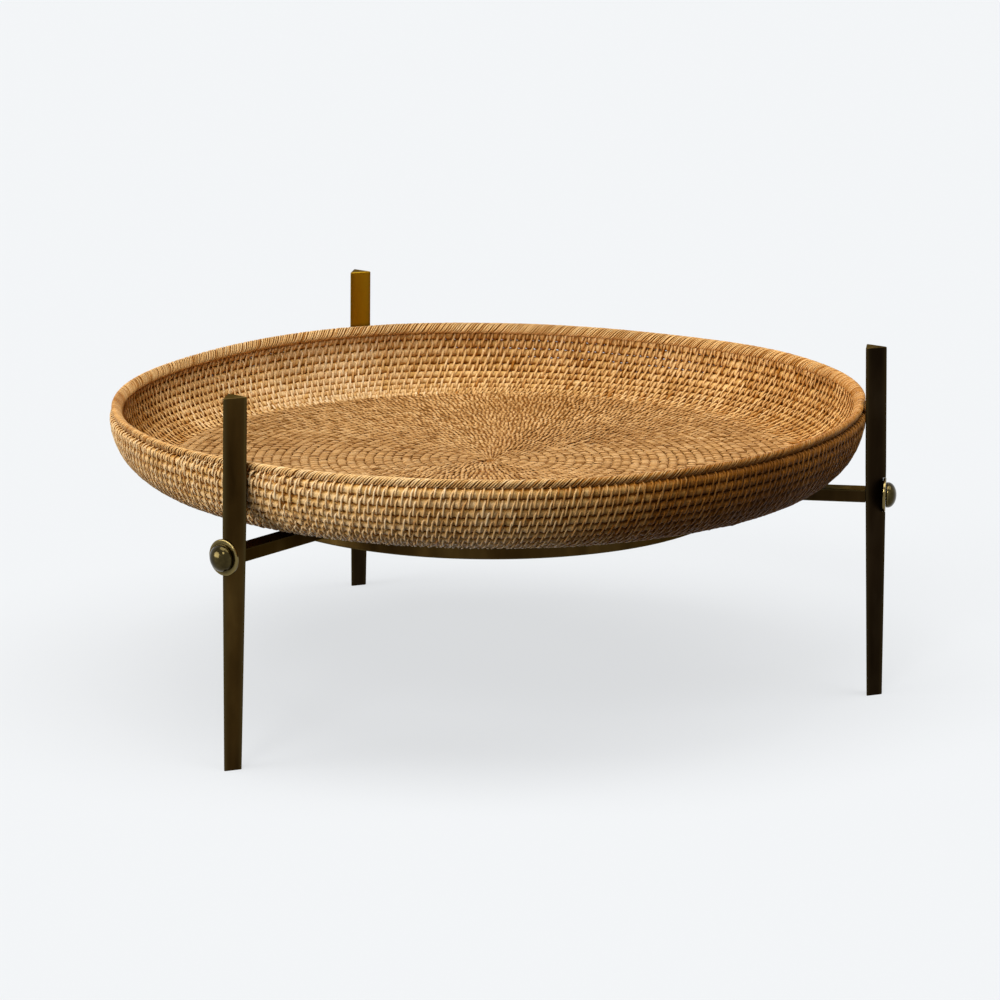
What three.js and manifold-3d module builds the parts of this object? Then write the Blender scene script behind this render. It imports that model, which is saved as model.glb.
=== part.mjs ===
// Round coiled rattan tray standing loose on a three-legged brass stand.
// Millimetres, +Z up. The legs stand on the floor at zero height.
import * as THREE from "three";
import { mergeVertices } from "three/addons/utils/BufferGeometryUtils.js";
import Module from "manifold-3d";

const wasm = await Module();
wasm.setup();

// Clearances
const seat_gap = 0.3;
const lift_clearance = 1.1;
const cut_overrun = 5;

// Tray
const tray_radius = 462;
const rim_radius = 6;
const wall_width = 75;
const wall_depth = 78;
const rod_radius = 5;
const rod_gap = 0.7;
const floor_thickness = 12.7;
const floor_chamfer = 3;
const floor_pitch = 11.5;
const floor_ridge_depth = 3;
const floor_middle_radius = 110;
const wall_loops = 10;

// Hoop that carries the tray: its inset from the tray's edge, and how far its
// top stands above the level of the joints
const hoop_inset = 163;
const hoop_thickness = 6;
const hoop_height = 39;
const hoop_rise = 15;

// Legs: bars of triangular section, one edge facing outwards
const leg_height = 440;
const leg_section_radius = 17.4;
const leg_foot_radius = 13;
const leg_edge_radius = 1.2;
const leg_taper_rise = 35;
const leg_splay_share = 0.0249;

// Arms between the hoop and the legs
const joint_height = 255;
const arm_width = 25;
const arm_height = 15.5;

// Stud, washer and cap nut of each joint
const stud_radius = 3;
const stud_clearance = 0.3;
const stud_arm_depth = 26;
const stud_nut_depth = 8;
const washer_radius = 21.4;
const washer_thickness = 3.6;
const washer_chamfer = 0.6;
const washer_side_clearance = 0.6;
const nut_radius = 15.7;
const nut_skirt = 2.2;
const nut_height = 12.6;

// Fineness of the round pieces, and where the legs stand
const tray_steps = 36;
const hoop_steps = 72;
const hardware_steps = 24;
const dome_steps = 6;
const edge_steps = 2;
const rod_sides = 6;
const rim_sides = 8;
const splice_steps = 3;
const walk_steps = 100;
const splice_angle = (220 * Math.PI) / 180;
const first_leg_angle = (232 * Math.PI) / 180;
const places = ["front_left", "right", "rear"];

// Sizes that follow from those above
const hoop_radius = tray_radius - hoop_inset;
const hoop_top_height = joint_height + hoop_rise;
const leg_taper_height = joint_height + leg_taper_rise;
const tray_bottom = hoop_top_height + seat_gap;
const wall_centre_height = tray_bottom + wall_depth;
const wall_centre_radius = tray_radius - wall_width;
const rod_pitch = 2 * rod_radius + rod_gap;
const leg_apothem = leg_section_radius / 2;
const leg_axis_radius =
  tray_radius + lift_clearance + leg_apothem + leg_splay_share * (leg_height - joint_height);
const stud_bore_radius = stud_radius + stud_clearance;

const brass = { color: 0x3b3122, roughness: 0.38, metalness: 0.9 };
const polishedBrass = { color: 0x8a7546, roughness: 0.22, metalness: 1 };
const rattan = { color: 0xb27a3c, roughness: 0.62, metalness: 0 };
const rattanDark = { color: 0x9a6730, roughness: 0.7, metalness: 0 };

// A geometry as a solid that can be cut or joined.
function solidOf(geometry) {
  const bare = geometry.clone();
  bare.deleteAttribute("normal");
  bare.deleteAttribute("uv");
  const merged = mergeVertices(bare);
  return new wasm.Manifold(
    new wasm.Mesh({
      numProp: 3,
      vertProperties: merged.attributes.position.array,
      triVerts: new Uint32Array(merged.index.array),
    }),
  );
}

// A solid back as a geometry.
function geometryOf(solid) {
  const mesh = solid.getMesh();
  const geometry = new THREE.BufferGeometry();
  geometry.setAttribute("position", new THREE.BufferAttribute(mesh.vertProperties, 3));
  geometry.setIndex(new THREE.BufferAttribute(mesh.triVerts, 1));
  geometry.computeVertexNormals();
  return geometry;
}

function named(name, geometry, look) {
  const mesh = new THREE.Mesh(geometry, new THREE.MeshStandardMaterial(look));
  mesh.name = name;
  return mesh;
}

// A profile of [radius, height] points turned round the +Z axis.
function turned(profile, steps) {
  const points = profile.map(([radius, height]) => new THREE.Vector2(radius, height));
  return new THREE.LatheGeometry(points, steps).rotateX(Math.PI / 2);
}

// A round bar lying along +X from one place to another.
function barAlongX(radius, from, to, height) {
  const bar = new THREE.CylinderGeometry(radius, radius, to - from, hardware_steps);
  return bar.rotateZ(-Math.PI / 2).translate((from + to) / 2, 0, height);
}

// A triangular section with soft edges, one edge pointing along +X.
function legSection() {
  const shape = new THREE.Shape();
  const reach = leg_section_radius - 2 * leg_edge_radius;
  for (let corner = 0; corner < 3; corner++) {
    const angle = (corner * 2 * Math.PI) / 3;
    shape.absarc(
      reach * Math.cos(angle),
      reach * Math.sin(angle),
      leg_edge_radius,
      angle - Math.PI / 3,
      angle + Math.PI / 3,
      false,
    );
  }
  shape.closePath();
  return shape;
}

// How far the leg's outward edge lies from its own axis at a height.
function legReach(height) {
  const rise = Math.min(height / leg_taper_height, 1);
  const share = THREE.MathUtils.lerp(leg_foot_radius / leg_section_radius, 1, rise);
  return (leg_section_radius - leg_edge_radius) * share;
}

// Level face of the notch in the leg that the washer seats on.
const washer_seat = leg_axis_radius + legReach(joint_height) - washer_thickness;
const washer_outer_face = washer_seat + seat_gap + washer_thickness;
const nut_face = washer_outer_face + seat_gap;

// Straight above, tapering below, and leaning outwards towards the floor.
function legGeometry() {
  const bar = new THREE.ExtrudeGeometry(legSection(), {
    depth: leg_height,
    steps: 2,
    bevelEnabled: false,
    curveSegments: edge_steps,
  });
  const heights = [0, leg_taper_height, leg_height];
  const widthShares = [leg_foot_radius / leg_section_radius, 1, 1];
  const position = bar.attributes.position;
  for (let i = 0; i < position.count; i++) {
    const level = Math.round((2 * position.getZ(i)) / leg_height);
    const height = heights[level];
    const lean = leg_splay_share * (joint_height - height);
    const across = position.getX(i) * widthShares[level];
    position.setXYZ(
      i,
      leg_axis_radius + across + lean,
      position.getY(i) * widthShares[level],
      height,
    );
  }
  const notchHeight = 2 * (washer_radius + washer_side_clearance);
  const notchDepth = washer_thickness + cut_overrun;
  const notch = new THREE.BoxGeometry(notchDepth, 2 * leg_section_radius, notchHeight);
  notch.translate(washer_seat + notchDepth / 2, 0, joint_height);
  const bore = barAlongX(
    stud_bore_radius,
    leg_axis_radius - leg_section_radius,
    washer_seat + cut_overrun,
    joint_height,
  );
  return geometryOf(solidOf(bar).subtract(solidOf(notch)).subtract(solidOf(bore)));
}

// Level bar whose outer end is cut to the lean of the leg's inner face.
function armGeometry() {
  const inner = hoop_radius + seat_gap;
  const faceTaper = (leg_section_radius - leg_foot_radius) / (2 * leg_taper_height);
  const legFace = (height) =>
    leg_axis_radius -
    leg_apothem +
    leg_splay_share * (joint_height - height) +
    faceTaper * Math.max(leg_taper_height - height, 0);
  const low = joint_height - arm_height / 2;
  const high = joint_height + arm_height / 2;
  const outline = new THREE.Shape([
    new THREE.Vector2(inner, low),
    new THREE.Vector2(legFace(low) - seat_gap, low),
    new THREE.Vector2(legFace(high) - seat_gap, high),
    new THREE.Vector2(inner, high),
  ]);
  const bar = new THREE.ExtrudeGeometry(outline, { depth: arm_width, bevelEnabled: false });
  bar.rotateX(Math.PI / 2).translate(0, arm_width / 2, 0);
  const boreEnd = legFace(joint_height) - stud_arm_depth - seat_gap;
  const bore = barAlongX(stud_bore_radius, boreEnd, leg_axis_radius, joint_height);
  return geometryOf(solidOf(bar).subtract(solidOf(bore)));
}

function studGeometry() {
  const inner = leg_axis_radius - leg_apothem - stud_arm_depth;
  const outer = nut_face + stud_nut_depth - seat_gap;
  return barAlongX(stud_radius, inner, outer, joint_height);
}

function washerGeometry() {
  const rim = washer_radius - washer_chamfer;
  const profile = [
    [stud_bore_radius, 0],
    [rim, 0],
    [washer_radius, washer_chamfer],
    [washer_radius, washer_thickness - washer_chamfer],
    [rim, washer_thickness],
    [stud_bore_radius, washer_thickness],
    [stud_bore_radius, 0],
  ];
  const ring = turned(profile, hardware_steps);
  return ring.rotateY(Math.PI / 2).translate(washer_seat + seat_gap, 0, joint_height);
}

// Short skirt, domed end and a blind hole for the stud.
function nutGeometry() {
  const profile = [
    [0, stud_nut_depth],
    [stud_bore_radius, stud_nut_depth],
    [stud_bore_radius, 0],
    [nut_radius, 0],
    [nut_radius, nut_skirt],
  ];
  for (let step = 1; step <= dome_steps; step++) {
    const angle = (step * Math.PI) / 2 / dome_steps;
    const radius = step === dome_steps ? 0 : nut_radius * Math.cos(angle);
    profile.push([radius, nut_skirt + (nut_height - nut_skirt) * Math.sin(angle)]);
  }
  const cap = turned(profile, hardware_steps);
  return cap.rotateY(Math.PI / 2).translate(nut_face, 0, joint_height);
}

function hoopGeometry() {
  const inner = hoop_radius - hoop_thickness;
  const low = hoop_top_height - hoop_height;
  const profile = [
    [inner, low],
    [hoop_radius, low],
    [hoop_radius, hoop_top_height],
    [inner, hoop_top_height],
    [inner, low],
  ];
  return turned(profile, hoop_steps);
}

// The wall is a quarter of an ellipse. This walks down the line of the rod
// centres, rod beside rod, and gives the ellipse's angle at a row.
function wallAngle(row) {
  let angle = 0;
  for (let step = 0; step < walk_steps; step++) {
    const across = (wall_width - rod_radius) * Math.sin(angle);
    const down = (wall_depth - rod_radius) * Math.cos(angle);
    angle += (row * rod_pitch) / (walk_steps * Math.hypot(across, down));
  }
  return angle;
}

// Centre of the rod at a row, as [radius, height], and the way to the next row.
function wallPlace(row) {
  const angle = wallAngle(row);
  const across = wall_width - rod_radius;
  const down = wall_depth - rod_radius;
  return {
    radius: wall_centre_radius + across * Math.cos(angle),
    height: wall_centre_height - down * Math.sin(angle),
    turn: Math.atan2(-down * Math.cos(angle), -across * Math.sin(angle)),
  };
}

// Stations along the one rod that the wall is coiled from. Each loop lies level
// and steps down one row at the splice. Both ends are shaved to a taper there.
function coilStations() {
  const stations = [];
  const last = wall_loops * tray_steps + splice_steps - 1;
  for (let i = 1; i <= last; i++) {
    const loop = Math.floor(i / tray_steps);
    const share = Math.min((i % tray_steps) / splice_steps, 1);
    let row = loop - 1 + share;
    let thickness = 1;
    if (loop === 0) {
      row = (share - 1) / 2;
      thickness = share;
    }
    if (loop === wall_loops) {
      row = wall_loops - 1 + share / 2;
      thickness = 1 - share;
    }
    const angle = splice_angle + (i * 2 * Math.PI) / tray_steps;
    stations.push({ angle, rod: rod_radius * thickness, ...wallPlace(row) });
  }
  return stations;
}

// Least distance between the surfaces of two loops, measured on the stations.
function leastCoilGap(stations) {
  const centres = stations.map(
    (s) =>
      new THREE.Vector3(s.radius * Math.cos(s.angle), s.radius * Math.sin(s.angle), s.height),
  );
  let least = Infinity;
  for (let i = 0; i < centres.length; i++) {
    for (let j = i + tray_steps / 2; j < centres.length; j++) {
      const apart = centres[i].distanceTo(centres[j]);
      least = Math.min(least, apart - stations[i].rod - stations[j].rod);
    }
  }
  return least;
}

// One unbroken tube through the stations, closed at both ends.
function coilGeometry() {
  const stations = coilStations();
  console.log("least gap of the wall coil to itself: " + leastCoilGap(stations).toFixed(2));
  const points = [];
  const faces = [];
  for (const s of stations) {
    for (let side = 0; side < rod_sides; side++) {
      const angle = s.turn + (side * 2 * Math.PI) / rod_sides;
      const radius = s.radius + s.rod * Math.cos(angle);
      const height = s.height + s.rod * Math.sin(angle);
      points.push(radius * Math.cos(s.angle), radius * Math.sin(s.angle), height);
    }
  }
  for (let i = 0; i + 1 < stations.length; i++) {
    for (let side = 0; side < rod_sides; side++) {
      const a = i * rod_sides + side;
      const b = i * rod_sides + ((side + 1) % rod_sides);
      faces.push(a, a + rod_sides, b, b, a + rod_sides, b + rod_sides);
    }
  }
  const end = (stations.length - 1) * rod_sides;
  for (let side = 1; side + 1 < rod_sides; side++) {
    faces.push(0, side, side + 1);
    faces.push(end, end + side + 1, end + side);
  }
  const geometry = new THREE.BufferGeometry();
  geometry.setAttribute("position", new THREE.Float32BufferAttribute(points, 3));
  geometry.setIndex(faces);
  geometry.computeVertexNormals();
  return geometry;
}

// The rim lies on the top loop of the wall.
function rimGeometry() {
  const top = wallPlace(0);
  const radius = tray_radius - rim_radius;
  const apart = rim_radius + rod_radius + seat_gap;
  const rise = Math.sqrt(apart ** 2 - (top.radius - radius) ** 2);
  const rim = new THREE.TorusGeometry(radius, rim_radius, rim_sides, tray_steps);
  return rim.translate(0, 0, top.height + rise);
}

// The floor is one stiff disc inside the lowest loop of the wall. Its upper face
// is ridged by the cane that it is coiled from: each loop lies level and steps
// inwards one pitch at the splice. The middle is stitched flat.
function floorGeometry() {
  const radius = wallPlace(wall_loops - 1).radius - rod_radius - seat_gap;
  const top = tray_bottom + floor_thickness;
  const groove = top - floor_ridge_depth;
  const spare = radius - floor_pitch / 2 - floor_middle_radius;
  const loops = Math.floor(spare / floor_pitch);
  const last = loops * tray_steps + splice_steps;
  const points = [];
  const faces = [];
  const point = (step, reach, height) => {
    const angle = splice_angle + (step * 2 * Math.PI) / tray_steps;
    points.push(reach * Math.cos(angle), reach * Math.sin(angle), height);
    return points.length / 3 - 1;
  };
  const ring = (reach, height) => {
    const round = [];
    for (let step = 0; step < tray_steps; step++) round.push(point(step, reach, height));
    return round;
  };
  const face = (...corners) => {
    if (new Set(corners).size === 3) faces.push(...corners);
  };
  const strip = (outer, inner, outerNext, innerNext) => {
    face(outer, outerNext, innerNext);
    face(outer, innerNext, inner);
  };
  const under = ring(radius - floor_chamfer, tray_bottom);
  const side = ring(radius, tray_bottom + floor_chamfer);
  const edge = ring(radius, groove);
  const middle = ring(radius - (loops + 1 / 2) * floor_pitch, top);
  const underCentre = point(0, 0, tray_bottom);
  const topCentre = point(0, 0, top);
  const crest = [edge[0]];
  const valley = [edge[0]];
  for (let i = 1; i < last; i++) {
    const loop = Math.floor(i / tray_steps);
    const share = Math.min((i % tray_steps) / splice_steps, 1);
    const starting = loop === 0 ? share : 1;
    const ending = loop === loops ? share : 0;
    const row = loop === 0 ? 0 : loop - 1 + share;
    const inwards = (row + starting / 2) * floor_pitch;
    const further = (starting - ending) * (floor_pitch / 2);
    crest.push(point(i, radius - inwards, groove + floor_ridge_depth * starting));
    valley.push(point(i, radius - inwards - further, groove + floor_ridge_depth * ending));
  }
  crest.push(middle[splice_steps]);
  valley.push(middle[splice_steps]);
  for (let step = 0; step < tray_steps; step++) {
    const next = (step + 1) % tray_steps;
    face(underCentre, under[next], under[step]);
    strip(under[step], side[step], under[next], side[next]);
    strip(side[step], edge[step], side[next], edge[next]);
    strip(edge[step], crest[step], edge[next], crest[step + 1]);
    face(middle[step], middle[next], topCentre);
  }
  for (let i = 0; i < last; i++) {
    strip(crest[i], valley[i], crest[i + 1], valley[i + 1]);
    const ahead = i + tray_steps;
    const inner = ahead < last ? crest[ahead] : middle[i % tray_steps];
    const innerNext = ahead < last ? crest[ahead + 1] : middle[(i + 1) % tray_steps];
    strip(valley[i], inner, valley[i + 1], innerNext);
  }
  const geometry = new THREE.BufferGeometry();
  geometry.setAttribute("position", new THREE.Float32BufferAttribute(points, 3));
  geometry.setIndex(faces);
  geometry.computeVertexNormals();
  return geometry;
}

const stand = new THREE.Group();
stand.add(named("support_hoop", hoopGeometry(), brass));
places.forEach((place, index) => {
  const spoke = new THREE.Group();
  spoke.rotation.z = first_leg_angle + (index * 2 * Math.PI) / places.length;
  spoke.add(named(place + "_leg", legGeometry(), brass));
  spoke.add(named(place + "_arm", armGeometry(), brass));
  spoke.add(named(place + "_stud", studGeometry(), polishedBrass));
  spoke.add(named(place + "_washer", washerGeometry(), polishedBrass));
  spoke.add(named(place + "_cap_nut", nutGeometry(), polishedBrass));
  stand.add(spoke);
});

const tray = new THREE.Group();
tray.add(named("tray_floor", floorGeometry(), rattanDark));
tray.add(named("tray_wall_coil", coilGeometry(), rattan));
tray.add(named("tray_rim_hoop", rimGeometry(), rattan));

// The frame's origin is the middle of the table's bounding box, at the floor.
const table = new THREE.Group();
table.add(stand, tray);
const middle = new THREE.Box3().setFromObject(table, true).getCenter(new THREE.Vector3());
stand.position.set(-middle.x, -middle.y, 0);
tray.position.copy(stand.position);

export default table;
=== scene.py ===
# A round tray of coiled rattan resting loose on a brass stand with three legs.
# Metres, +Z up, in the same frame as the solids.
import math

import bpy
import numpy as np
from mathutils import Matrix, Vector


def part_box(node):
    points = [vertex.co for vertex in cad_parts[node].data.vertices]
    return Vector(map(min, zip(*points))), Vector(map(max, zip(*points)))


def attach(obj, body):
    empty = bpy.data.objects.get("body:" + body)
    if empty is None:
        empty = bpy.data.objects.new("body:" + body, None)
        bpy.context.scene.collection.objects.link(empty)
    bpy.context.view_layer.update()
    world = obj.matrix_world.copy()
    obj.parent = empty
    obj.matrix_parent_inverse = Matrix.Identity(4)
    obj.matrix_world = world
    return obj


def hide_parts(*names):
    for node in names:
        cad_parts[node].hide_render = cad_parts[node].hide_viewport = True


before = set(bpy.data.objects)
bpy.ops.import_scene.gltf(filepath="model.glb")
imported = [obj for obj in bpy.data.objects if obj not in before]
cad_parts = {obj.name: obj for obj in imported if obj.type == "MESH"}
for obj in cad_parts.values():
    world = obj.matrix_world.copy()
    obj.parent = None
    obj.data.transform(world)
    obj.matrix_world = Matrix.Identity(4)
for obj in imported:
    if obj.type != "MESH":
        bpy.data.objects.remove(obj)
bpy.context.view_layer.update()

# The camera, placed from the tray's axis at the floor
CAMERA_DISTANCE = 4.4313
CAMERA_HEIGHT = 1.3108
CAMERA_YAW = 0.0032
CAMERA_PITCH = 0.2393
CAMERA_ROLL = 0.005
CAMERA_SENSOR_MM = 36
CAMERA_LENS_MM = 131.70

# Sizes that the frame's boxes give
rim_low, rim_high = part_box("tray_rim_hoop")
floor_low, floor_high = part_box("tray_floor")
hoop_low, hoop_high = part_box("support_hoop")
AXIS = np.array([(rim_low.x + rim_high.x) / 2, (rim_low.y + rim_high.y) / 2, 0.0])
TRAY_RADIUS = (rim_high.x - rim_low.x) / 2
TRAY_BOTTOM = floor_low.z
FLOOR_MIDDLE = (floor_low.z + floor_high.z) / 2
HOOP_RADIUS = (hoop_high.x - hoop_low.x) / 2
LEG_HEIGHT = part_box("front_left_leg")[1].z

# The wall of the tray, a quarter of an ellipse in section, and the rod it is coiled from
WALL_WIDTH = 0.075
WALL_DEPTH = 0.078
ROD_CLEARANCE_RADIUS = 0.005
ROD_PITCH = 0.0107
ROD_RADIUS = 0.00525
WALL_LOOPS = 10
SPLICE_ANGLE = math.radians(220)
SPLICE_SPAN = math.radians(30)

# The lacing that binds each loop of the wall to the next
LACES = 268
LACE_HALF_WIDTH = 0.00125
LACE_HALF_DEPTH = 0.0008
LACE_SIDES = 6
LACE_HOOK = 0.0012
LACE_SLACK = 0.00015
LACE_TONE = 0.70
LACE_TONE_SPREAD = 0.12
ROD_SIDES = 8
ROD_STEPS = 6
ROD_HALF_WIDTH = 0.0060

# The rod is drawn in under its bindings and swells between them
ROD_PLUMPNESS = 1.07
ROD_PINCHES = (0.16, 0.14)
ROD_PINCH_WIDTH = 0.21
ROD_TONE = 0.84
ROD_TONE_SPREAD = 0.11

# The rim: a core wound with strips of peel
RIM_RADIUS = 0.006
RIM_HALF_LENGTH = 0.0066
RIM_HALF_THICKNESS = 0.0034
RIM_LEAN = math.radians(45)
RIM_INWARDS = 0.0018
RIM_DROP = 0.0009
RIM_STARTS = 9
RIM_TURNS = 89
RIM_STEPS = 16
RIM_STRIP_HALF_WIDTH = 0.00112
RIM_STRIP_HALF_DEPTH = 0.00075
RIM_DRIFT = 0.20
RIM_SLACK = 0.00016
RIM_TONE = 0.78
RIM_TONE_SPREAD = 0.13

# The floor: more loops of the same rod, closely stitched
FLOOR_PITCH = 0.0115
FLOOR_EDGE = 0.3917
FLOOR_LOOPS = int(FLOOR_EDGE / FLOOR_PITCH)
FLOOR_STEPS = 180
FLOOR_ROD_HALF_WIDTH = 0.0057
FLOOR_ROD_HALF_DEPTH = 0.0047
STITCH_PITCH = 0.0056
STITCH_HALF_WIDTH = 0.0023
STITCH_HALF_DEPTH = 0.0007
STITCH_PARTS = 5
STITCH_DRIFT = 0.16
STITCH_LIFT = 0.00022
STITCH_TONE = 0.80
STITCH_TONE_SPREAD = 0.15

# The stand
LEG_SECTION_RADIUS = 0.0174
LEG_FOOT_RADIUS = 0.013
LEG_EDGE_RADIUS = 0.0012
LEG_TAPER_RISE = 0.035
LEG_SPLAY = 0.0249
LIFT_CLEARANCE = 0.0011
JOINT_HEIGHT = 0.255
ARM_WIDTH = 0.025
ARM_HEIGHT = 0.0155
ARM_FLARE = 0.0016
HOOP_THICKNESS = 0.006
EASED_RADIUS = 0.0007
WASHER_RADIUS = 0.0214
WASHER_THICKNESS = 0.0036
WASHER_SIDE_CLEARANCE = 0.0006
NUT_RADIUS = 0.0157
NUT_SKIRT = 0.0022
NUT_HEIGHT = 0.0126
SEAT_GAP = 0.0003
STAND_PLACES = {"front_left": 232, "right": 352, "rear": 112}

# How much gold is painted on each leg's inner face near the tray, as a painted reflection of the
# cane
LEG_CANE_REFLECTION = {"front_left": 0.4, "right": 0.1, "rear": 1.0}
# How dark the brass has gone, from 0 to 1: partly its own patina, and for the legs partly painted
# shade
LEG_PATINA_AND_SHADE = {"front_left": 0.0, "right": 0.9, "rear": 0.85}
ARM_PATINA = 0.5
HOOP_PATINA = 0.0
CANE_REFLECTION_HEIGHT = 0.35
CANE_REFLECTION_FADE = 0.02
RUB_MARGIN = 0.0011

# The colour of the page behind the table, as linear values
PAGE = (0.888, 0.905, 0.922, 1.0)


def smooth_noise(angle, seed, waves=(2, 3, 5, 8, 13)):
    """A smooth curve round the circle, from about -1 to 1."""
    random = np.random.default_rng(seed)
    total = np.zeros_like(angle, dtype=float)
    weight = 0.0
    for wave in waves:
        size = random.uniform(0.5, 1.0)
        total += size * np.cos(wave * angle + random.uniform(0, 2 * math.pi))
        weight += size * size / 2
    return total / math.sqrt(weight) / 1.6


def unit(vectors):
    return vectors / np.maximum(np.linalg.norm(vectors, axis=-1, keepdims=True), 1e-12)


def around(radius, angle, height):
    """Points from a radius, an angle about the tray's axis and a height."""
    x = AXIS[0] + radius * np.cos(angle)
    y = AXIS[1] + radius * np.sin(angle)
    return np.stack([x, y, np.broadcast_to(height, np.shape(x))], axis=-1)


def facing(angle, out, up):
    """Directions from their parts away from the tray's axis, at an angle, and upwards."""
    return np.stack([out * np.cos(angle), out * np.sin(angle), up + 0 * angle], axis=-1)


# Meshes

def make_mesh(name, points, quads, triangles=(), quad_uvs=None, values=None):
    """A mesh from arrays. values are numbers held by each point, under their names."""
    points = np.asarray(points, dtype=np.float32).reshape(-1, 3)
    quads = np.asarray(quads, dtype=np.int32).reshape(-1, 4)
    triangles = np.asarray(triangles, dtype=np.int32).reshape(-1, 3)
    mesh = bpy.data.meshes.new(name)
    mesh.vertices.add(len(points))
    mesh.vertices.foreach_set("co", points.ravel())
    corners = np.concatenate([quads.ravel(), triangles.ravel()])
    mesh.loops.add(len(corners))
    mesh.loops.foreach_set("vertex_index", corners)
    quad_starts = 4 * np.arange(len(quads))
    triangle_starts = 4 * len(quads) + 3 * np.arange(len(triangles))
    starts = np.concatenate([quad_starts, triangle_starts]).astype(np.int32)
    mesh.polygons.add(len(starts))
    mesh.polygons.foreach_set("loop_start", starts)
    mesh.polygons.foreach_set("use_smooth", np.full(len(starts), True))
    mesh.update(calc_edges=True)
    mesh.validate()
    if quad_uvs is not None:
        layer = mesh.uv_layers.new(name="OFBake")
        flat = np.zeros((len(corners), 2), dtype=np.float32)
        flat[: 4 * len(quads)] = quad_uvs.reshape(-1, 2)
        layer.uv.foreach_set("vector", flat.ravel())
    for key, numbers in (values or {}).items():
        attribute = mesh.attributes.new(key, "FLOAT", "POINT")
        attribute.data.foreach_set("value", np.asarray(numbers, dtype=np.float32).ravel())
    return mesh


def add_piece(mesh, material, body, slot, *replaced):
    piece = bpy.data.objects.new(mesh.name, mesh)
    bpy.context.scene.collection.objects.link(piece)
    mesh.materials.append(material)
    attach(piece, body)
    if replaced:
        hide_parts(*replaced)


def ring_points(centres, along, outward, half_width, half_depth, sides):
    """Rings of points around the centres, flat side facing outward."""
    along = unit(along)
    across = unit(np.cross(along, outward))
    lift = np.cross(across, along)
    angle = 2 * math.pi * (np.arange(sides) + 0.5) / sides + math.pi / 2
    width = np.broadcast_to(half_width, centres.shape[:-1])[..., None, None]
    depth = np.broadcast_to(half_depth, centres.shape[:-1])[..., None, None]
    side = across[..., None, :] * np.cos(angle)[:, None] * width
    rise = lift[..., None, :] * np.sin(angle)[:, None] * depth
    return centres[..., None, :] + side + rise


def strip_faces(strips, steps, sides, closed=False):
    """Quads along each strip of rings, as indices of a (strips, steps, sides) block."""
    index = np.arange(strips * steps * sides).reshape(strips, steps, sides)
    beside = np.roll(index, -1, axis=2)
    ahead = np.roll(index, -1, axis=1)
    quads = np.stack([index, beside, np.roll(beside, -1, axis=1), ahead], axis=-1)
    return quads if closed else quads[:, :-1]


def end_caps(strips, steps, sides):
    """Triangles that close both ends of each strip."""
    index = np.arange(strips * steps * sides).reshape(strips, steps, sides)
    first, last = index[:, 0], index[:, -1]
    faces = []
    for side in range(1, sides - 1):
        faces.append(np.stack([first[:, 0], first[:, side + 1], first[:, side]], axis=-1))
        faces.append(np.stack([last[:, 0], last[:, side], last[:, side + 1]], axis=-1))
    return np.concatenate(faces)


def strip_uvs(quads, columns):
    """A place of its own on the map for each strip, in rows of so many columns."""
    strips, steps, sides = quads.shape[:3]
    rows = math.ceil(strips / columns)
    inset = 0.06
    column = np.arange(strips) % columns
    row = np.arange(strips) // columns
    u = np.arange(steps + 1) / steps * (1 - 2 * inset) + inset
    v = np.arange(sides + 1) / sides * (1 - 2 * inset) + inset
    corner_u = np.stack([u[:-1], u[:-1], u[1:], u[1:]], axis=-1)
    corner_v = np.stack([v[:-1], v[1:], v[1:], v[:-1]], axis=-1)
    uvs = np.zeros((strips, steps, sides, 4, 2))
    uvs[..., 0] = (column[:, None, None, None] + corner_u[None, :, None, :]) / columns
    uvs[..., 1] = (row[:, None, None, None] + corner_v[None, None, :, :]) / rows
    return uvs


def rod_rings(centres, outward, half_width, half_depth):
    """Rings of points along one rod that has two ends."""
    before = np.roll(centres, 1, axis=0)
    after = np.roll(centres, -1, axis=0)
    before[0] = centres[0]
    after[-1] = centres[-1]
    return ring_points(centres, after - before, outward, half_width, half_depth, ROD_SIDES)


def rod_mesh(name, rings, loops, tone_and_shade):
    """A rod closed at both ends, with a row of the map for each loop of it."""
    count = len(rings)
    quads = strip_faces(1, count, ROD_SIDES)
    uvs = strip_uvs(quads.reshape(loops, -1, ROD_SIDES, 4), 1)
    caps = end_caps(1, count, ROD_SIDES)
    return make_mesh(name, rings, quads, caps, uvs, {"tone_and_shade": tone_and_shade})


def closed_rings(centres, outward, half_width, half_depth, sides):
    """Rings of points along strands of peel that each meet their own beginning."""
    along = np.roll(centres, -1, axis=1) - np.roll(centres, 1, axis=1)
    return ring_points(centres, along, outward, half_width, half_depth, sides)


def closed_mesh(name, rings, turn_steps, tone_and_shade):
    """Strands without ends, with a place of its own on the map for each turn of them."""
    sides = rings.shape[2]
    quads = strip_faces(*rings.shape[:2], sides, closed=True).reshape(-1, turn_steps, sides, 4)
    uvs = strip_uvs(quads, math.ceil(math.sqrt(len(quads) / 3)))
    return make_mesh(name, rings, quads, (), uvs, {"tone_and_shade": tone_and_shade})


def crevice(sides, depth, power=2):
    """How light each side of a strand is: its edges lie in its neighbours' shade."""
    angle = 2 * math.pi * (np.arange(sides) + 0.5) / sides + math.pi / 2
    return 1 - depth * np.abs(np.cos(angle)) ** power


# Materials

class Nodes:
    """The nodes of a material or world, each added with its inputs as values or sockets."""

    def __init__(self, owner):
        owner.use_nodes = True
        self.tree = owner.node_tree

    def add(self, kind, inputs, **settings):
        node = self.tree.nodes.new("ShaderNode" + kind)
        for key, value in settings.items():
            setattr(node, key, value)
        for key, value in inputs.items():
            if isinstance(value, bpy.types.NodeSocket):
                self.tree.links.new(value, node.inputs[key])
            else:
                node.inputs[key].default_value = value
        return node


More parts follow.
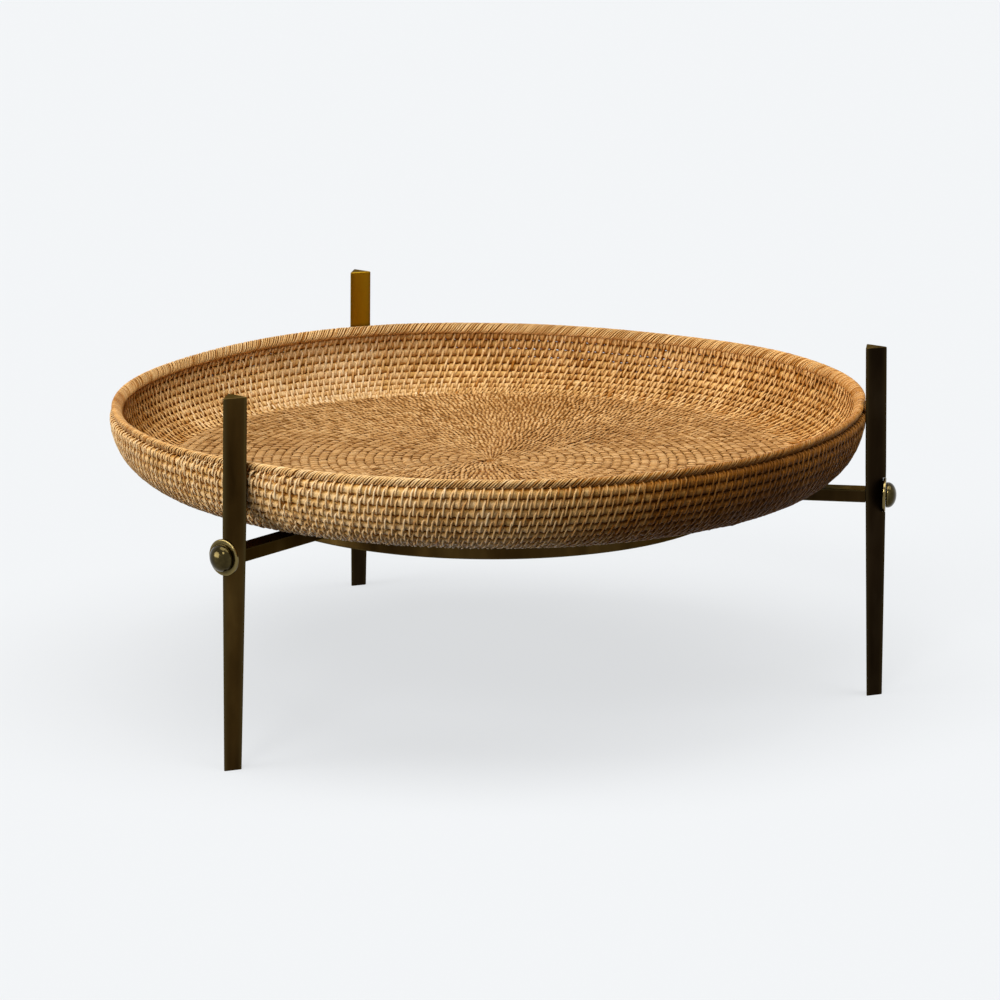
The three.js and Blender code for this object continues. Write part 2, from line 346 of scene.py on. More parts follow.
class Look(Nodes):
    """A material of nodes that ends in one Principled shader."""

    def __init__(self, name, **sockets):
        self.material = bpy.data.materials.new(name)
        super().__init__(self.material)
        self.shader = self.tree.nodes["Principled BSDF"]
        for socket, value in sockets.items():
            self.shader.inputs[socket.replace("_", " ")].default_value = value

    def feed(self, socket, source):
        self.tree.links.new(source, self.shader.inputs[socket])

    def noise(self, scale, detail=2.0, stretch=None, roughness=0.5):
        place = self.add("TexCoord", {}).outputs["Object"]
        if stretch:
            place = self.add("Mapping", {"Vector": place, "Scale": stretch}).outputs["Vector"]
        inputs = {"Vector": place, "Scale": scale, "Detail": detail, "Roughness": roughness}
        return self.add("TexNoise", inputs).outputs["Fac"]

    def value(self, name):
        node = self.add("Attribute", {}, attribute_name=name, attribute_type="GEOMETRY")
        return node.outputs["Fac"]

    def ramp(self, factor, stops):
        node = self.add("ValToRGB", {"Fac": factor})
        elements = node.color_ramp.elements
        while len(elements) < len(stops):
            elements.new(0.5)
        for element, (position, colour) in zip(elements, stops):
            element.position = position
            element.color = (*colour, 1.0)
        return node.outputs["Color"]

    def blend(self, factor, first, second, mode="MIX"):
        colours = [(*c, 1.0) if isinstance(c, tuple) else c for c in (first, second)]
        inputs = {0: factor, 6: colours[0], 7: colours[1]}
        return self.add("Mix", inputs, data_type="RGBA", blend_type=mode).outputs[2]

    def tint(self, colour, factor, first, second):
        """A colour multiplied by one that goes from first to second."""
        return self.blend(1.0, colour, self.blend(factor, first, second), mode="MULTIPLY")

    def times(self, first, second):
        return self.add("Math", {0: first, 1: second}, operation="MULTIPLY").outputs[0]

    def span(self, value, low, high, from_low=0.3, from_high=0.7):
        inputs = {"Value": value, "From Min": from_low, "From Max": from_high}
        inputs.update({"To Min": low, "To Max": high})
        return self.add("MapRange", inputs).outputs["Result"]

    def bump(self, height, distance, strength=1.0):
        inputs = {"Height": height, "Distance": distance, "Strength": strength}
        self.feed("Normal", self.add("Bump", inputs).outputs["Normal"])


def rattan_look(name, colours, roughness, coat):
    """Cane or its peel, in colours from the painted shade in its crevices to its palest skin."""
    look = Look(
        name,
        Coat_Weight=coat,
        Coat_Roughness=0.14,
        Specular_IOR_Level=0.05,
        Specular_Tint=(1.0, 0.80, 0.50, 1.0),
    )
    # The tone holds the cane's own tone and painted shade, lower at its crevices, under its bindings
    # and at its holes.
    colour = look.ramp(look.value("tone_and_shade"), list(zip((0.0, 0.3, 0.6, 1.0), colours)))
    patches = look.span(look.noise(9.0, detail=3.0), 0.0, 1.0, 0.35, 0.65)
    colour = look.tint(colour, patches, (0.84, 0.77, 0.68), (1.06, 1.05, 1.04))
    fibres = look.noise(620.0)
    flecks = look.span(fibres, 0.0, 1.0)
    colour = look.tint(colour, flecks, (0.84, 0.78, 0.72), (1.06, 1.06, 1.05))
    look.feed("Base Color", colour)
    look.feed("Roughness", look.span(fibres, roughness - 0.08, roughness + 0.12))
    look.bump(look.noise(1100.0), 0.00012, 0.6)
    return look.material


def dark_brass():
    look = Look("darkened_brass", Metallic=1.0, Specular_Tint=(0.55, 0.45, 0.28, 1.0))
    clouds = look.noise(14.0, detail=4.0, stretch=(1.0, 1.0, 0.45), roughness=0.6)
    dark, middle, pale = (0.021, 0.011, 0.0029), (0.037, 0.0205, 0.0053), (0.058, 0.0345, 0.0098)
    colour = look.ramp(clouds, [(0.28, dark), (0.50, middle), (0.68, pale)])
    smears = look.noise(60.0, detail=4.0, stretch=(1.0, 1.0, 0.15))
    smeared = look.span(smears, 0.0, 1.0)
    colour = look.tint(colour, smeared, (0.80, 0.78, 0.74), (1.25, 1.2, 1.12))
    # Patina darkens and greys the brass; on the legs it is partly painted shade.
    patina_and_shade = look.value("patina_and_shade")
    colour = look.tint(colour, patina_and_shade, (1.0, 1.0, 1.0), (0.22, 0.25, 0.55))
    # Gold painted on the legs' inner faces near the tray: a painted reflection of the cane.
    colour = look.blend(look.value("cane_reflection"), colour, (0.310, 0.175, 0.006))
    worn = look.times(look.value("wear"), look.span(patina_and_shade, 1.0, 0.25, 0.0, 1.0))
    look.feed("Base Color", look.blend(worn, colour, (0.052, 0.036, 0.013)))
    look.feed("Roughness", look.span(smears, 0.30, 0.46))
    look.bump(look.noise(160.0, detail=5.0, stretch=(1.0, 1.0, 0.3)), 0.0004, 0.35)
    return look.material


def polished_brass():
    look = Look("polished_brass", Metallic=1.0)
    clouds = look.noise(90.0, detail=4.0, roughness=0.6)
    dark, middle, pale = (0.026, 0.019, 0.007), (0.050, 0.038, 0.014), (0.100, 0.075, 0.028)
    colour = look.ramp(clouds, [(0.30, dark), (0.55, middle), (0.75, pale)])
    worn = look.times(look.value("wear"), 0.8)
    look.feed("Base Color", look.blend(worn, colour, (0.22, 0.165, 0.062)))
    look.feed("Roughness", look.span(look.noise(400.0, detail=3.0), 0.10, 0.19))
    look.bump(look.noise(700.0, detail=3.0), 0.00005, 0.5)
    return look.material


# The line of the coil: one rod from the rim down the wall and over the floor to its middle

def wall_line():
    """Rows and the angles of the ellipse that they lie at, walked rod beside rod."""
    steps = 4000
    angle = np.linspace(0, math.pi / 2, steps)
    across = (WALL_WIDTH - ROD_CLEARANCE_RADIUS) * np.sin(angle)
    down = (WALL_DEPTH - ROD_CLEARANCE_RADIUS) * np.cos(angle)
    lengths = np.hypot(across, down)
    walked = np.concatenate([[0], np.cumsum((lengths[1:] + lengths[:-1]) / 2 * np.diff(angle))])
    return walked / ROD_PITCH, angle


WALL_ROWS, WALL_ANGLES = wall_line()
WALL_SPREAD = 0.08
WALL_CENTRE_RADIUS = TRAY_RADIUS - WALL_WIDTH
WALL_CENTRE_HEIGHT = TRAY_BOTTOM + WALL_DEPTH
WALL_TOP_RADIUS = TRAY_RADIUS - ROD_CLEARANCE_RADIUS
RIM_CIRCLE_RADIUS = TRAY_RADIUS - RIM_RADIUS
RIM_APART = RIM_RADIUS + ROD_CLEARANCE_RADIUS + SEAT_GAP
RIM_HEIGHT = WALL_CENTRE_HEIGHT + math.sqrt(
    RIM_APART**2 - (WALL_TOP_RADIUS - RIM_CIRCLE_RADIUS) ** 2
)


def spread_row(row):
    """The wall's upper loops lie a little farther apart than the lower ones."""
    return row * (1 + WALL_SPREAD * (1 - np.clip(row, 0, WALL_LOOPS - 1) / (WALL_LOOPS - 1)))


def loop_apart(row):
    """How far apart the wall's loops lie at a row, beside the even pitch."""
    return 1 + WALL_SPREAD * (1 - 2 * np.clip(row, 0, WALL_LOOPS - 1) / (WALL_LOOPS - 1))


def coil_place(row):
    """Radius and height of the coil at a row: -1 is the rim, 0 to 9 the wall, then the floor."""
    angle = np.interp(spread_row(row), WALL_ROWS, WALL_ANGLES)
    radius = WALL_CENTRE_RADIUS + (WALL_WIDTH - ROD_CLEARANCE_RADIUS) * np.cos(angle)
    height = WALL_CENTRE_HEIGHT - (WALL_DEPTH - ROD_CLEARANCE_RADIUS) * np.sin(angle)
    above = np.clip(-row, 0, 1)
    radius = radius + above * (RIM_CIRCLE_RADIUS - RIM_INWARDS - WALL_TOP_RADIUS)
    height = height + above * (RIM_HEIGHT - RIM_DROP - WALL_CENTRE_HEIGHT)
    below = np.clip(row - (WALL_LOOPS - 1), 0, 1)
    radius = radius + below * (FLOOR_EDGE - radius)
    height = height + below * (FLOOR_MIDDLE - height)
    radius = radius - FLOOR_PITCH * np.maximum(row - WALL_LOOPS, 0)
    return np.maximum(radius, 0.0), height


def coil_face(row):
    """The way out of the coil's surface at a row, as parts along the radius and upwards."""
    angle = np.interp(spread_row(row), WALL_ROWS, WALL_ANGLES) * np.clip(row + 1, 0, 1)
    return np.cos(angle), -np.sin(angle)


def splice_share(angle):
    """How far a loop has stepped down to its row, past the splice."""
    past = np.mod(angle - SPLICE_ANGLE, 2 * math.pi)
    return np.clip(past / SPLICE_SPAN, 0, 1)


def loop_row(loop, angle):
    """The row that a loop of the coil lies at. The first loop comes out from under the rim."""
    share = splice_share(angle)
    if loop < 0:
        return np.full_like(share, -1.0)
    if loop == 0:
        return (share - 1) / 2
    return loop - 1 + share


def lace_shift(loop, angle):
    """Where the lacing of a loop lies round the circle, in laces, beside that of the loop above."""
    total = np.zeros_like(angle)
    back = np.clip(0.5 + 0.9 * np.sin(angle), 0, 1)
    back = back * back * (3 - 2 * back)
    for step in range(loop + 1):
        total += 0.38 + 0.30 * back + 0.12 * smooth_noise(angle, 100 + step)
    return total + 0.12 * smooth_noise(angle, 700 + loop, (31, 47, 63, 89, 113))


def lace_start(loop):
    """Angles at which the laces of a loop come out over its rod."""
    random = np.random.default_rng(500 + loop)
    angle = SPLICE_ANGLE + 2 * math.pi * np.arange(LACES) / LACES
    shift = lace_shift(loop, angle) + random.normal(0, 0.06, LACES)
    return angle + 2 * math.pi * shift / LACES


# The tray is woven by hand. Every 30 degrees from +X round by +Y, its wall strays outwards
# and upwards by this many millimetres at the rim, and it is pressed in where the legs hold it.
TRAY_OUT = (4.0, 2.2, 0.0, 0.0, 0.5, 2.6, 4.5, 4.2, 1.2, 0.3, 0.0, 1.0)
TRAY_UP = (5.5, 4.2, -0.8, 1.2, 1.8, -4.2, -5.0, -3.8, -2.0, -1.2, 0.6, 3.2)
TRAY_WAVES = 0.0005
LEG_DENT = 0.0016
LEG_DENT_SPAN = math.radians(4)

# How pale the cane is at the same places, outside, inside and on the rim. Set to come
# near the photograph, so this holds some of its light and shade beside the cane's own tone.
OUTER_PALENESS = (0.7, 1.0, 1.1, 1.1, 1.1, 1.18, 1.2, 1.22, 1.24, 1.12, 0.44, 0.35)
INNER_PALENESS = (0.78, 0.74, 0.95, 0.88, 1.3, 0.97, 0.5, 0.68, 1.0, 1.0, 1.0, 0.9)
RIM_PALENESS = (0.56, 0.66, 0.8, 0.88, 0.92, 0.84, 0.66, 0.75, 0.98, 0.9, 0.6, 0.5)


def closed_curve(angle, values):
    """A smooth closed curve through evenly spaced values."""
    count = len(values)
    place = np.mod(angle, 2 * math.pi) / (2 * math.pi) * count
    before = np.floor(place).astype(int)
    share = place - before
    value = [np.take(np.array(values), (before + step) % count) for step in (-1, 0, 1, 2)]
    slope_in = (value[2] - value[0]) / 2
    slope_out = (value[3] - value[1]) / 2
    rest = 1 - share
    return (
        value[1] * (1 + 2 * share) * rest**2
        + slope_in * share * rest**2
        + value[2] * (3 - 2 * share) * share**2
        - slope_out * share**2 * rest
    )


def turned_by(angle):
    """The same angle, from half a turn back to half a turn on."""
    return np.mod(angle + math.pi, 2 * math.pi) - math.pi


def woven(points):
    """Points of the tray, moved as a hand-made wall strays from a true round."""
    height = np.clip((points[..., 2] - TRAY_BOTTOM) / (RIM_HEIGHT - TRAY_BOTTOM), 0, 1) ** 0.6
    angle = np.arctan2(points[..., 1] - AXIS[1], points[..., 0] - AXIS[0])
    radial = np.stack([np.cos(angle), np.sin(angle)], axis=-1)
    swell = 0.001 * closed_curve(angle, TRAY_OUT)
    for degrees in STAND_PLACES.values():
        off = turned_by(angle - math.radians(degrees))
        swell = swell - LEG_DENT * np.exp(-((off / LEG_DENT_SPAN) ** 2))
    lift = 0.001 * closed_curve(angle, TRAY_UP)
    lift = lift + TRAY_WAVES * smooth_noise(angle, 7, (3, 4, 7, 11))
    moved = points.copy()
    moved[..., :2] += radial * (swell * height)[..., None]
    moved[..., 2] += lift * height
    return moved


def paleness_and_shade(angle, outside):
    """How pale the wall is at an angle, on its outer or its inner side: partly the cane's own tone,
    partly painted light and shade.
    """
    outer = closed_curve(angle, OUTER_PALENESS)
    return np.where(outside, outer, closed_curve(angle, INNER_PALENESS))


def wall_coil(name, first, last, material):
    """The rod through the loops first to last, plump between its bindings."""
    steps = ROD_STEPS * LACES
    count = (last - first + 1) * steps + 1
    turns = first + np.arange(count) / steps
    turns[-1] -= 1e-9
    loop = np.floor(turns)
    angle = SPLICE_ANGLE + 2 * math.pi * turns
    share = splice_share(angle)
    row = np.where(loop == 0, (share - 1) / 2, loop - 1 + share)
    radius, height = coil_place(row)
    thickness = np.where(loop == 0, np.clip(share, 0.08, 1), 1.0)
    tone_and_shade = ROD_TONE + 0.08 * smooth_noise(angle, 41, (0.7, 1.3, 3.1, 7.7))
    pinch = np.zeros(count)
    random = np.random.default_rng(11 + first)
    for number in range(first, last + 1):
        chosen = loop == number
        around_loop = np.mod(angle[chosen] - SPLICE_ANGLE, 2 * math.pi)
        for above, size in enumerate(ROD_PINCHES):
            starts = np.sort(np.mod(lace_start(number - above) - SPLICE_ANGLE, 2 * math.pi))
            shades = random.normal(0, ROD_TONE_SPREAD, LACES)
            index = np.searchsorted(starts, around_loop)
            ways = [turned_by(starts[near] - around_loop) for near in (index % LACES, index - 1)]
            off = np.min(np.abs(ways), axis=0) / (2 * math.pi / LACES)
            pinch[chosen] += size * np.exp(-((off / ROD_PINCH_WIDTH) ** 2))
            tone_and_shade[chosen] += shades[index % LACES]
    swell = 0.012 * smooth_noise(angle, 300, (9.3, 17.1, 23.7, 31.9, 43.3))
    plump = thickness * (ROD_PLUMPNESS - pinch + swell)
    half_width = ROD_HALF_WIDTH * plump * loop_apart(row)
    centres = around(radius, angle, height)
    rings = rod_rings(centres, facing(angle, *coil_face(row)), half_width, ROD_RADIUS * plump)
    # Painted shade: the rod is darker at its edges, where its neighbours shade it, and under its
    # bindings.
    sides = crevice(ROD_SIDES, 0.85, 4)
    tone_and_shade = np.clip(tone_and_shade, 0.15, 1)[:, None] * sides * (1 - 1.2 * pinch)[:, None]
    side_angle = 2 * math.pi * (np.arange(ROD_SIDES) + 0.5) / ROD_SIDES
    tone_and_shade = tone_and_shade * paleness_and_shade(angle[:, None], np.cos(side_angle) > 0)
    mesh = rod_mesh(name, woven(rings), last - first + 1, tone_and_shade)
    add_piece(mesh, material, "tray", "rattan", "tray_wall_coil")


# One turn of lacing about two rods, from the inner side of the upper one. Each row is
# (which rod, angle about it, how far along the turn, how much light falls there).
LACE_PROFILE = [
    (0, 180, 0.00, 1.0),
    (0, 135, 0.02, 0.8),
    (0, 90, 0.04, 0.3),
    (0, 60, 0.07, 0.85),
    (0, 30, 0.12, 1.0),
    (0, 0, 0.18, 1.0),
    (0.33, 0, 0.23, 0.97),
    (0.67, 0, 0.28, 0.97),
    (1, 0, 0.33, 1.0),
    (1, -30, 0.37, 0.97),
    (1, -60, 0.42, 0.8),
    (1, -90, 0.48, 0.3),
    (1, -135, 0.56, 0.8),
    (1, -180, 0.66, 0.95),
    (0.67, 180, 0.77, 1.0),
    (0.33, 180, 0.89, 1.0),
]


def wall_lacing(name, loops, material):
    """The lacing between each of these loops and the next: one long strand for each."""
    steps = len(LACE_PROFILE)
    strands = len(loops)
    centres, outward = np.zeros((2, strands, LACES, steps, 3))
    widths, tones = np.zeros((2, strands, LACES, steps))
    for strand, loop in enumerate(loops):
        random = np.random.default_rng(900 + loop)
        start = lace_start(loop)
        following = np.roll(start, 1)
        following[0] -= 2 * math.pi
        loose = random.gamma(1.5, LACE_SLACK, LACES)
        width = random.normal(1, 0.10, LACES)
        hook = random.normal(1, 0.5, LACES)
        pierced = np.clip(random.normal((loop - 1) / 1.5, 0.35, LACES), 0, 1)
        tone_and_shade = np.clip(random.normal(LACE_TONE, LACE_TONE_SPREAD, LACES), 0.35, 1)
        for step, (rod, turn, share, light) in enumerate(LACE_PROFILE):
            place = start + (following - start) * share
            if rod == 0:
                place = place + LACE_HOOK / TRAY_RADIUS * hook * max(math.sin(math.radians(turn)), 0)
            upper = coil_place(loop_row(loop, place))
            lower = coil_place(loop_row(loop + 1, place))
            down_r = lower[0] - upper[0]
            down_z = lower[1] - upper[1]
            length = np.hypot(down_r, down_z)
            down_r = down_r / length
            down_z = down_z / length
            cos, sin = math.cos(math.radians(turn)), math.sin(math.radians(turn))
            face_r = -down_z * cos - down_r * sin
            face_z = down_r * cos - down_z * sin
            reach = ROD_RADIUS + LACE_HALF_DEPTH * (0.2 if abs(turn) < 100 else 0.5)
            reach = reach + loose * max(cos, 0)
            if loop < 0 and rod < 0.5:
                reach = np.full(LACES, RIM_HALF_THICKNESS - 2 * LACE_HALF_DEPTH)
            if rod == 0:
                reach = reach * (1 - 0.6 * pierced * max(sin - 0.35, 0) / 0.65)
            radius = upper[0] * (1 - rod) + lower[0] * rod + face_r * reach
            height = upper[1] * (1 - rod) + lower[1] * rod + face_z * reach
            centres[strand, :, step] = around(radius, place, height)
            outward[strand, :, step] = facing(place, face_r, face_z)
            inside = 1.25 if abs(turn) > 100 else 1.0
            widths[strand, :, step] = width * inside * (0.8 + 0.2 * light)
            tones[strand, :, step] = tone_and_shade * light * paleness_and_shade(place, abs(turn) < 100)
    # Each turn leads on to the one at the next lower angle, so the turns run backwards
    centres, outward, widths, tones = (
        part[:, ::-1].reshape(strands, LACES * steps, *part.shape[3:])
        for part in (centres, outward, LACE_HALF_WIDTH * widths, tones)
    )
    rings = closed_rings(centres, outward, widths, LACE_HALF_DEPTH, LACE_SIDES)
    # Painted shade along the edges of each strand, where its neighbours shade it.
    tone_and_shade = tones[..., None] * crevice(LACE_SIDES, 0.3)
    mesh = closed_mesh(name, woven(rings), steps, tone_and_shade)
    add_piece(mesh, material, "tray", "rattan")


def rim_section(turn, reach):
    """A point of the rim's oval section and the way out of its face there. The oval leans in."""
    long_way = (RIM_HALF_LENGTH + reach) * np.cos(turn)
    short_way = (RIM_HALF_THICKNESS + reach) * np.sin(turn)
    face_long = np.cos(turn) / (RIM_HALF_LENGTH + reach)
    face_short = np.sin(turn) / (RIM_HALF_THICKNESS + reach)
    size = np.hypot(face_long, face_short)
    sin, cos = math.sin(RIM_LEAN), math.cos(RIM_LEAN)
    radius = RIM_CIRCLE_RADIUS - RIM_INWARDS + long_way * sin - short_way * cos
    height = RIM_HEIGHT - RIM_DROP + long_way * cos + short_way * sin
    face_r = (face_long * sin - face_short * cos) / size
    face_z = (face_long * cos + face_short * sin) / size
    return radius, height, face_r, face_z


def rim_core(material):
    """The oval hoop inside the winding, given a low tone as painted shade between its strips."""
    steps = 720
    sides = 16
    angle = 2 * math.pi * np.arange(steps) / steps
    turn = 2 * math.pi * np.arange(sides) / sides
    rings = np.zeros((1, steps, sides, 3))
    for side in range(sides):
        radius, height, _, _ = rim_section(turn[side], 0.0)
        rings[0, :, side] = around(radius, angle, height)
    mesh = closed_mesh("rim_core", woven(rings), steps, np.full(steps * sides, 0.2))
    add_piece(mesh, material, "tray", "rattan", "tray_rim_hoop")


def rim_winding(material):
    """Strips of peel wound side by side about the rim's core."""
    random = np.random.default_rng(77)
    count = RIM_TURNS * RIM_STEPS
    share = np.arange(count) / count
    angle = -2 * math.pi * share
    centres, outward = np.zeros((2, RIM_STARTS, count, 3))
    widths, tones = np.zeros((2, RIM_STARTS, count))
    for start in range(RIM_STARTS):
        shift = RIM_DRIFT / RIM_STARTS * smooth_noise(angle, 900 + start, (5, 11, 17, 29, 41, 67))
        turn = 2 * math.pi * (-RIM_TURNS * share + start / RIM_STARTS + shift)
        loose = RIM_SLACK * (1 + smooth_noise(angle, 950 + start, (7, 13, 31, 53)))
        reach = 0.7 * RIM_STRIP_HALF_DEPTH + loose
        radius, height, face_r, face_z = rim_section(turn, reach)
        centres[start] = around(radius, angle, height)
        outward[start] = facing(angle, face_r, face_z)
        uneven = smooth_noise(angle, 970 + start, (9, 19, 37, 61, 97))
        widths[start] = RIM_STRIP_HALF_WIDTH * (1 + 0.14 * uneven)
        shades = np.clip(random.normal(RIM_TONE, RIM_TONE_SPREAD, RIM_TURNS), 0.4, 1)
        tones[start] = np.repeat(shades, RIM_STEPS)
    # Painted shade at the strips' edges, and painted light and shade round the rim beside the cane's
    # own tone.
    rim_paleness_and_shade = closed_curve(angle, RIM_PALENESS)[:, None]
    tone_and_shade = tones[..., None] * crevice(LACE_SIDES, 0.45) * rim_paleness_and_shade
    rings = closed_rings(centres, outward, widths, RIM_STRIP_HALF_DEPTH, LACE_SIDES)
    mesh = closed_mesh("rim_winding", woven(rings), RIM_STEPS, tone_and_shade)
    add_piece(mesh, material, "tray", "rattan")


def floor_radius(turns):
    """Radius of the floor's coil so many turns from its outer end. Each loop lies level and
    steps in at the splice, and the last one curls in to the middle."""
    loop = np.floor(turns)
    share = splice_share(SPLICE_ANGLE + 2 * math.pi * turns)
    radius = coil_place(WALL_LOOPS - 1 + loop + share)[0]
    curl = coil_place(np.array(WALL_LOOPS - 1.0 + FLOOR_LOOPS))[0] * (FLOOR_LOOPS + 1 - turns)
    return np.where(loop >= FLOOR_LOOPS, np.maximum(curl, 0.0), radius)


def floor_row(turns, angle):
    """The floor's first loop comes down from the wall, and the others lie level."""
    return np.where(turns < 1, WALL_LOOPS - 1 + splice_share(angle), WALL_LOOPS)


def floor_rod_share(radius):
    """The cane is shaved thin at the middle of the tray."""
    return 0.55 + 0.45 * np.clip(radius / 0.03, 0, 1)


def floor_spiral(material):
    """The rod from the wall's last loop to the middle of the floor."""
    loops = FLOOR_LOOPS + 1
    turns = np.arange(loops * FLOOR_STEPS + 1) / FLOOR_STEPS
    turns[-1] -= 0.0005
    angle = SPLICE_ANGLE + 2 * math.pi * turns
    radius = floor_radius(turns)
    thickness = floor_rod_share(radius)
    half_width = FLOOR_ROD_HALF_WIDTH * thickness
    half_depth = FLOOR_ROD_HALF_DEPTH * thickness
    centres = around(radius, angle, coil_place(floor_row(turns, angle))[1])
    rings = rod_rings(centres, np.array([0.0, 0.0, 1.0]), half_width, half_depth)
    # The rod shows only in the holes between stitches: its low tone and darker edges are painted
    # shade.
    tone_and_shade = 0.38 + 0.05 * smooth_noise(angle, 61, (0.4, 0.9, 2.3, 5.1))
    tone_and_shade = tone_and_shade[:, None] * crevice(ROD_SIDES, 0.9, 2)
    mesh = rod_mesh("floor_spiral", rings, loops, tone_and_shade)
    add_piece(mesh, material, "tray", "rattan_floor", "tray_floor")


# One floor stitch about a rod, as (way in from the rod's middle in pitches, height as a share
# of the reach above it, width, how much light falls there), from the hole outside the rod
# over its top to the hole inside it, and back below.
STITCH_PROFILE = [
    (-0.46, -0.20, 0.40, 0.45),
    (-0.39, 0.45, 0.50, 0.60),
    (-0.27, 0.88, 0.80, 0.95),
    (-0.10, 1.02, 1.00, 1.0),
    (0.12, 1.05, 1.00, 1.0),
    (0.36, 1.02, 0.95, 1.0),
    (0.56, 0.95, 0.80, 0.80),
    (0.69, 0.62, 0.55, 0.20),
    (0.40, -0.86, 0.70, 0.6),
    (0.00, -1.00, 1.00, 0.9),
    (-0.36, -0.86, 0.60, 0.4),
]


def floor_stitches(material):
    """Close stitches over every rod of the floor."""
    random = np.random.default_rng(23)
    turns = np.linspace(0.0, FLOOR_LOOPS - 0.02, 80000)
    radius = floor_radius(turns)
    pitch = STITCH_PITCH * (0.60 + 0.40 * np.clip(radius / 0.06, 0, 1))
    counts = np.concatenate(
        [[0], np.cumsum(np.diff(turns) * 2 * math.pi * radius[1:] / pitch[1:])]
    )
    total = int(counts[-1])
    # The spacing drifts from stitch to stitch, so that no two loops run in step
    drift = np.cumsum(random.normal(0, STITCH_DRIFT, total))
    drift -= np.linspace(0, drift[-1], total)
    at = np.interp(np.arange(total) + drift, counts, turns)
    angle = SPLICE_ANGLE + 2 * math.pi * at
    outer = floor_radius(at)
    inner = floor_radius(at + 1)
    raised = coil_place(floor_row(at, angle))[1]
    lean = 0.10 + 0.07 * smooth_noise(angle, 33, (1, 2, 3, 5)) + random.normal(0, 0.04, total)
    steps = len(STITCH_PROFILE)
    centres, outward = np.zeros((2, total, steps, 3))
    length = np.maximum(outer - inner, 0.004)
    uneven = 1 + random.normal(0, 0.10, total)
    lift = random.normal(0, STITCH_LIFT, total)
    width_along = np.array([width for _, _, width, _ in STITCH_PROFILE])
    light_along = np.array([light for _, _, _, light in STITCH_PROFILE])
    for step, (inwards, rise, _, _) in enumerate(STITCH_PROFILE):
        radius = np.maximum(outer - length * inwards * uneven, 0.0006)
        reach = FLOOR_ROD_HALF_DEPTH * floor_rod_share(radius) + STITCH_HALF_DEPTH
        height = rise * reach + lift * max(rise, 0)
        slide = -lean * length * inwards
        if rise < 0:
            slide = -slide
        place = angle + slide / np.maximum(radius, 0.008)
        middle = raised + (FLOOR_MIDDLE - raised) * min(max(inwards, 0), 1)
        centres[:, step] = around(radius, place, middle + height)
        tilt = -inwards * 0.9 if rise > 0 else 0.0
        up = math.copysign(1.0, rise) if rise else 0.4
        outward[:, step] = unit(facing(place, tilt, up))
    outward[:, 0] = unit(facing(angle, 1.0, 0.0))
    width = STITCH_HALF_WIDTH * random.normal(1, 0.13, total)[:, None]
    width = width * (0.6 + 0.4 * np.clip(outer / 0.05, 0, 1))[:, None]
    width = width * width_along
    sides = 4
    tone_and_shade = random.normal(STITCH_TONE, STITCH_TONE_SPREAD, total)
    tone_and_shade = np.clip(tone_and_shade + 0.04 * smooth_noise(at * 2.1, 35), 0.4, 1)
    # Painted shade where each stitch dives into its hole, deeper for some stitches than others, and
    # along its edges.
    open_hole = random.uniform(0.0, 1.9, total)
    light_along = np.clip(1 - (1 - light_along) * open_hole[:, None], 0, 1)
    rings = closed_rings(centres, outward, width, STITCH_HALF_DEPTH, sides)
    tone_and_shade = tone_and_shade[:, None, None] * light_along[:, :, None] * crevice(sides, 0.45)
    ends = [part * total // STITCH_PARTS for part in range(STITCH_PARTS + 1)]
    for part in range(STITCH_PARTS):
        chosen = slice(ends[part], ends[part + 1])
        name = "floor_stitches_" + str(part + 1)
        mesh = closed_mesh(name, rings[chosen], steps, tone_and_shade[chosen])
        add_piece(mesh, material, "tray", "rattan_floor")


# The stand

def spoke(points, angle):
    """Points of a spoke, whose +X leads out from the tray's axis, turned to their place."""
    cos, sin = math.cos(angle), math.sin(angle)
    x = AXIS[0] + cos * points[..., 0] - sin * points[..., 1]
    y = AXIS[1] + sin * points[..., 0] + cos * points[..., 1]
    return np.stack([x, y, points[..., 2]], axis=-1)


def add_brass(name, rings, values, material, slot, node, order=1, closed=False, sharp=35):
    """A piece of the stand from rings of points: a bar with two ends, or closed to a ring.
    An order of -1 turns its faces over, where the rings run the other way round."""
    shape = rings.shape[:2]
    quads = strip_faces(1, *shape, closed)[..., ::order]
    caps = () if closed else end_caps(1, *shape)[:, ::order]
    values = {key: np.broadcast_to(value, shape) for key, value in values.items()}
    mesh = make_mesh(name, rings, quads, caps, None, values)
    mesh.set_sharp_from_angle(angle=math.radians(sharp))
    add_piece(mesh, material, "stand", slot, node)


LEG_APOTHEM = LEG_SECTION_RADIUS / 2
LEG_AXIS_RADIUS = (
    TRAY_RADIUS + LIFT_CLEARANCE + LEG_APOTHEM + LEG_SPLAY * (LEG_HEIGHT - JOINT_HEIGHT)
)
LEG_TAPER_HEIGHT = JOINT_HEIGHT + LEG_TAPER_RISE


def leg_share(height):
    """Width of the leg's section at a height, as a share of its full width."""
    foot = LEG_FOOT_RADIUS / LEG_SECTION_RADIUS
    return foot + (1 - foot) * np.clip(height / LEG_TAPER_HEIGHT, 0, 1)


WASHER_SEAT = (
    LEG_AXIS_RADIUS
    + (LEG_SECTION_RADIUS - LEG_EDGE_RADIUS) * float(leg_share(JOINT_HEIGHT))
    - WASHER_THICKNESS
)
NUT_FACE = WASHER_SEAT + 2 * SEAT_GAP + WASHER_THICKNESS


def leg_edge(corner, turn):
    """A point of a rounded edge of the leg's section, from the angles of edge and point."""
    reach = LEG_SECTION_RADIUS - 2 * LEG_EDGE_RADIUS
    x = reach * math.cos(corner) + LEG_EDGE_RADIUS * math.cos(turn)
    y = reach * math.sin(corner) + LEG_EDGE_RADIUS * math.sin(turn)
    return np.array([x, y])


